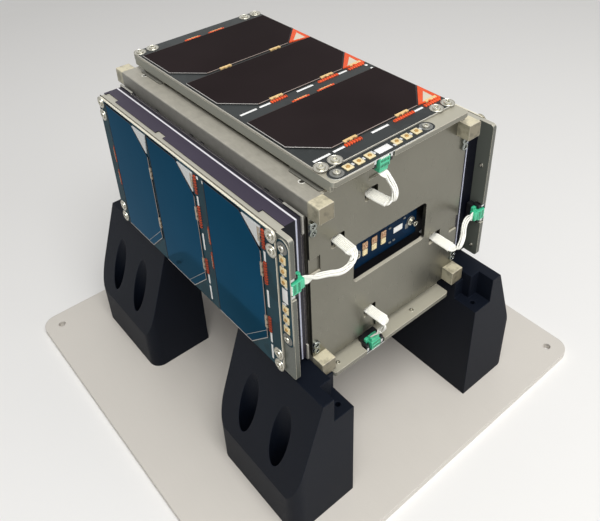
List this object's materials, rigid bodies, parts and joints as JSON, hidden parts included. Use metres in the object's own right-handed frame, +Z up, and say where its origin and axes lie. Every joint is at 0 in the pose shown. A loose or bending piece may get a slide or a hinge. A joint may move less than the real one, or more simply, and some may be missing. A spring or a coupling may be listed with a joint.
{
  "type": "cubesat on a display stand",
  "caption": "Small box-shaped satellite with clipped-corner solar panels, folded side packs and short plug leads, held by its rails on slanted feet on a square plate.",
  "frame": {"origin": "centre of the underside of the stand's base plate", "axes": "+Z up, -Y out of the satellite's front end plate with the window, +X to the right as seen from that end"},
  "size_m": [0.245, 0.245, 0.1921],
  "materials": {
    "body_metal": "bead blasted and hard anodised, warm grey",
    "frame_metal": "milled and blasted, light warm grey",
    "dark_board": "solder mask, near black",
    "solar_cell": "cover glass over dark blue cells",
    "blue_board": "blue solder mask",
    "gold": "gold plated",
    "dark_block": "dark equipment housing",
    "black_plastic": "moulded, black",
    "green_plastic": "moulded, green",
    "white_wire": "white insulation",
    "white_film": "white film edge",
    "violet_slab": "dark violet, glossy",
    "stand_plate": "pale grey beige, satin",
    "stand_plastic": "printed black plastic"
  },
  "bodies": {
    "root": {"base_plate": "stand_plate", "foot_front_left": "stand_plastic", "foot_front_right": "stand_plastic", "foot_rear_left": "stand_plastic", "foot_rear_right": "stand_plastic", "rail_bottom_left": "body_metal", "rail_bottom_right": "body_metal", "rail_top_left": "body_metal", "rail_top_right": "body_metal", "end_plate_front": "body_metal", "end_plate_rear": "body_metal", "wall_top": "body_metal", "wall_left": "body_metal", "wall_right": "body_metal", "wall_bottom": "body_metal", "connector_board": "blue_board", "connector_sockets": "gold", "equipment_block": "dark_block", "frame_top": "frame_metal", "frame_left": "frame_metal", "frame_right": "frame_metal", "frame_bottom": "frame_metal", "board_top": "dark_board", "board_left": "dark_board", "board_right": "dark_board", "board_bottom": "dark_board", "strip_top": "dark_board", "strip_left": "dark_board", "strip_right": "dark_board", "strip_bottom": "dark_board", "cells_top": "solar_cell", "cells_left": "solar_cell", "cells_right": "solar_cell", "cells_bottom": "solar_cell", "header_top": "black_plastic", "header_left": "black_plastic", "header_right": "black_plastic", "header_bottom": "black_plastic", "plug_top": "green_plastic", "plug_left": "green_plastic", "plug_right": "green_plastic", "plug_bottom": "green_plastic", "lead_top": "white_wire", "lead_left": "white_wire", "lead_right": "white_wire", "lead_bottom": "white_wire", "pack_tray_left": "frame_metal", "pack_spacer_left": "black_plastic", "pack_film_left": "white_film", "pack_core_left": "violet_slab", "pack_tray_right": "frame_metal", "pack_spacer_right": "black_plastic", "pack_film_right": "white_film", "pack_core_right": "violet_slab"}
  },
  "joints": []
}
